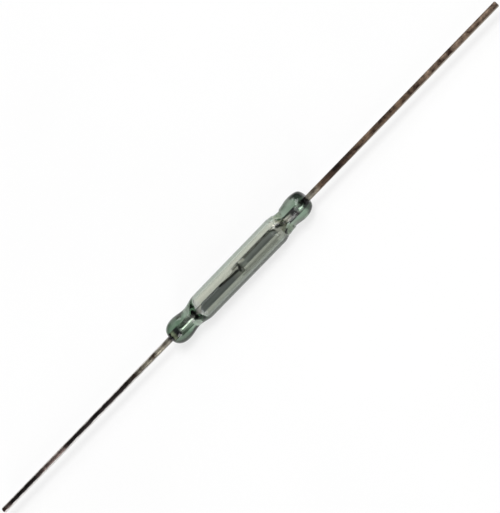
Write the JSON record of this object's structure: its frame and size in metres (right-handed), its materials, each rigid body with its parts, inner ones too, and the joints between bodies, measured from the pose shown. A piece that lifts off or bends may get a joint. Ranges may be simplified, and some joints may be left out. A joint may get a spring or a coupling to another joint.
{
  "type": "glass reed switch",
  "caption": "Small axial reed switch: a sealed glass tube with flat spring contact blades inside, closed by a magnet, and a straight wire lead out of each rounded end.",
  "frame": {"origin": "middle of the glass, on its axis, at the centre of the contact overlap", "axes": "+X along the glass towards reed B's lead, +Y the way the contacts are apart, from reed A's blade to reed B's, +Z across the blades' width"},
  "size_m": [0.055, 0.0022, 0.0022],
  "materials": {
    "glass": "clear green-tinted glass, fire-polished",
    "lead_wire": "tinned nickel-iron wire, tarnished brown with darker stains",
    "blade": "stamped nickel-iron, satin grey, with a plated contact area at the tip"
  },
  "bodies": {
    "root": {"glass_envelope": "glass", "reed_a_lead": "lead_wire", "reed_b_lead": "lead_wire"},
    "blade_a": {"reed_a_blade": "blade"},
    "blade_b": {"reed_b_blade": "blade"}
  },
  "joints": [
    {"name": "reed_a_flex", "type": "hinge", "parent": "root", "child": "blade_a", "pos_m": [-0.0044, -0.00015, 0], "axis": [0, 0, 1], "range_deg": [0, 0.75], "stiffness_Nm_per_rad": 0.00002},
    {"name": "reed_b_flex", "type": "hinge", "parent": "root", "child": "blade_b", "pos_m": [0.0044, 0.00015, 0], "axis": [0, 0, 1], "range_deg": [0, 0.75], "stiffness_Nm_per_rad": 0.00002}
  ],
  "couplings": [
    {"joint": "reed_b_flex", "follows": "reed_a_flex", "ratio": 1}
  ]
}
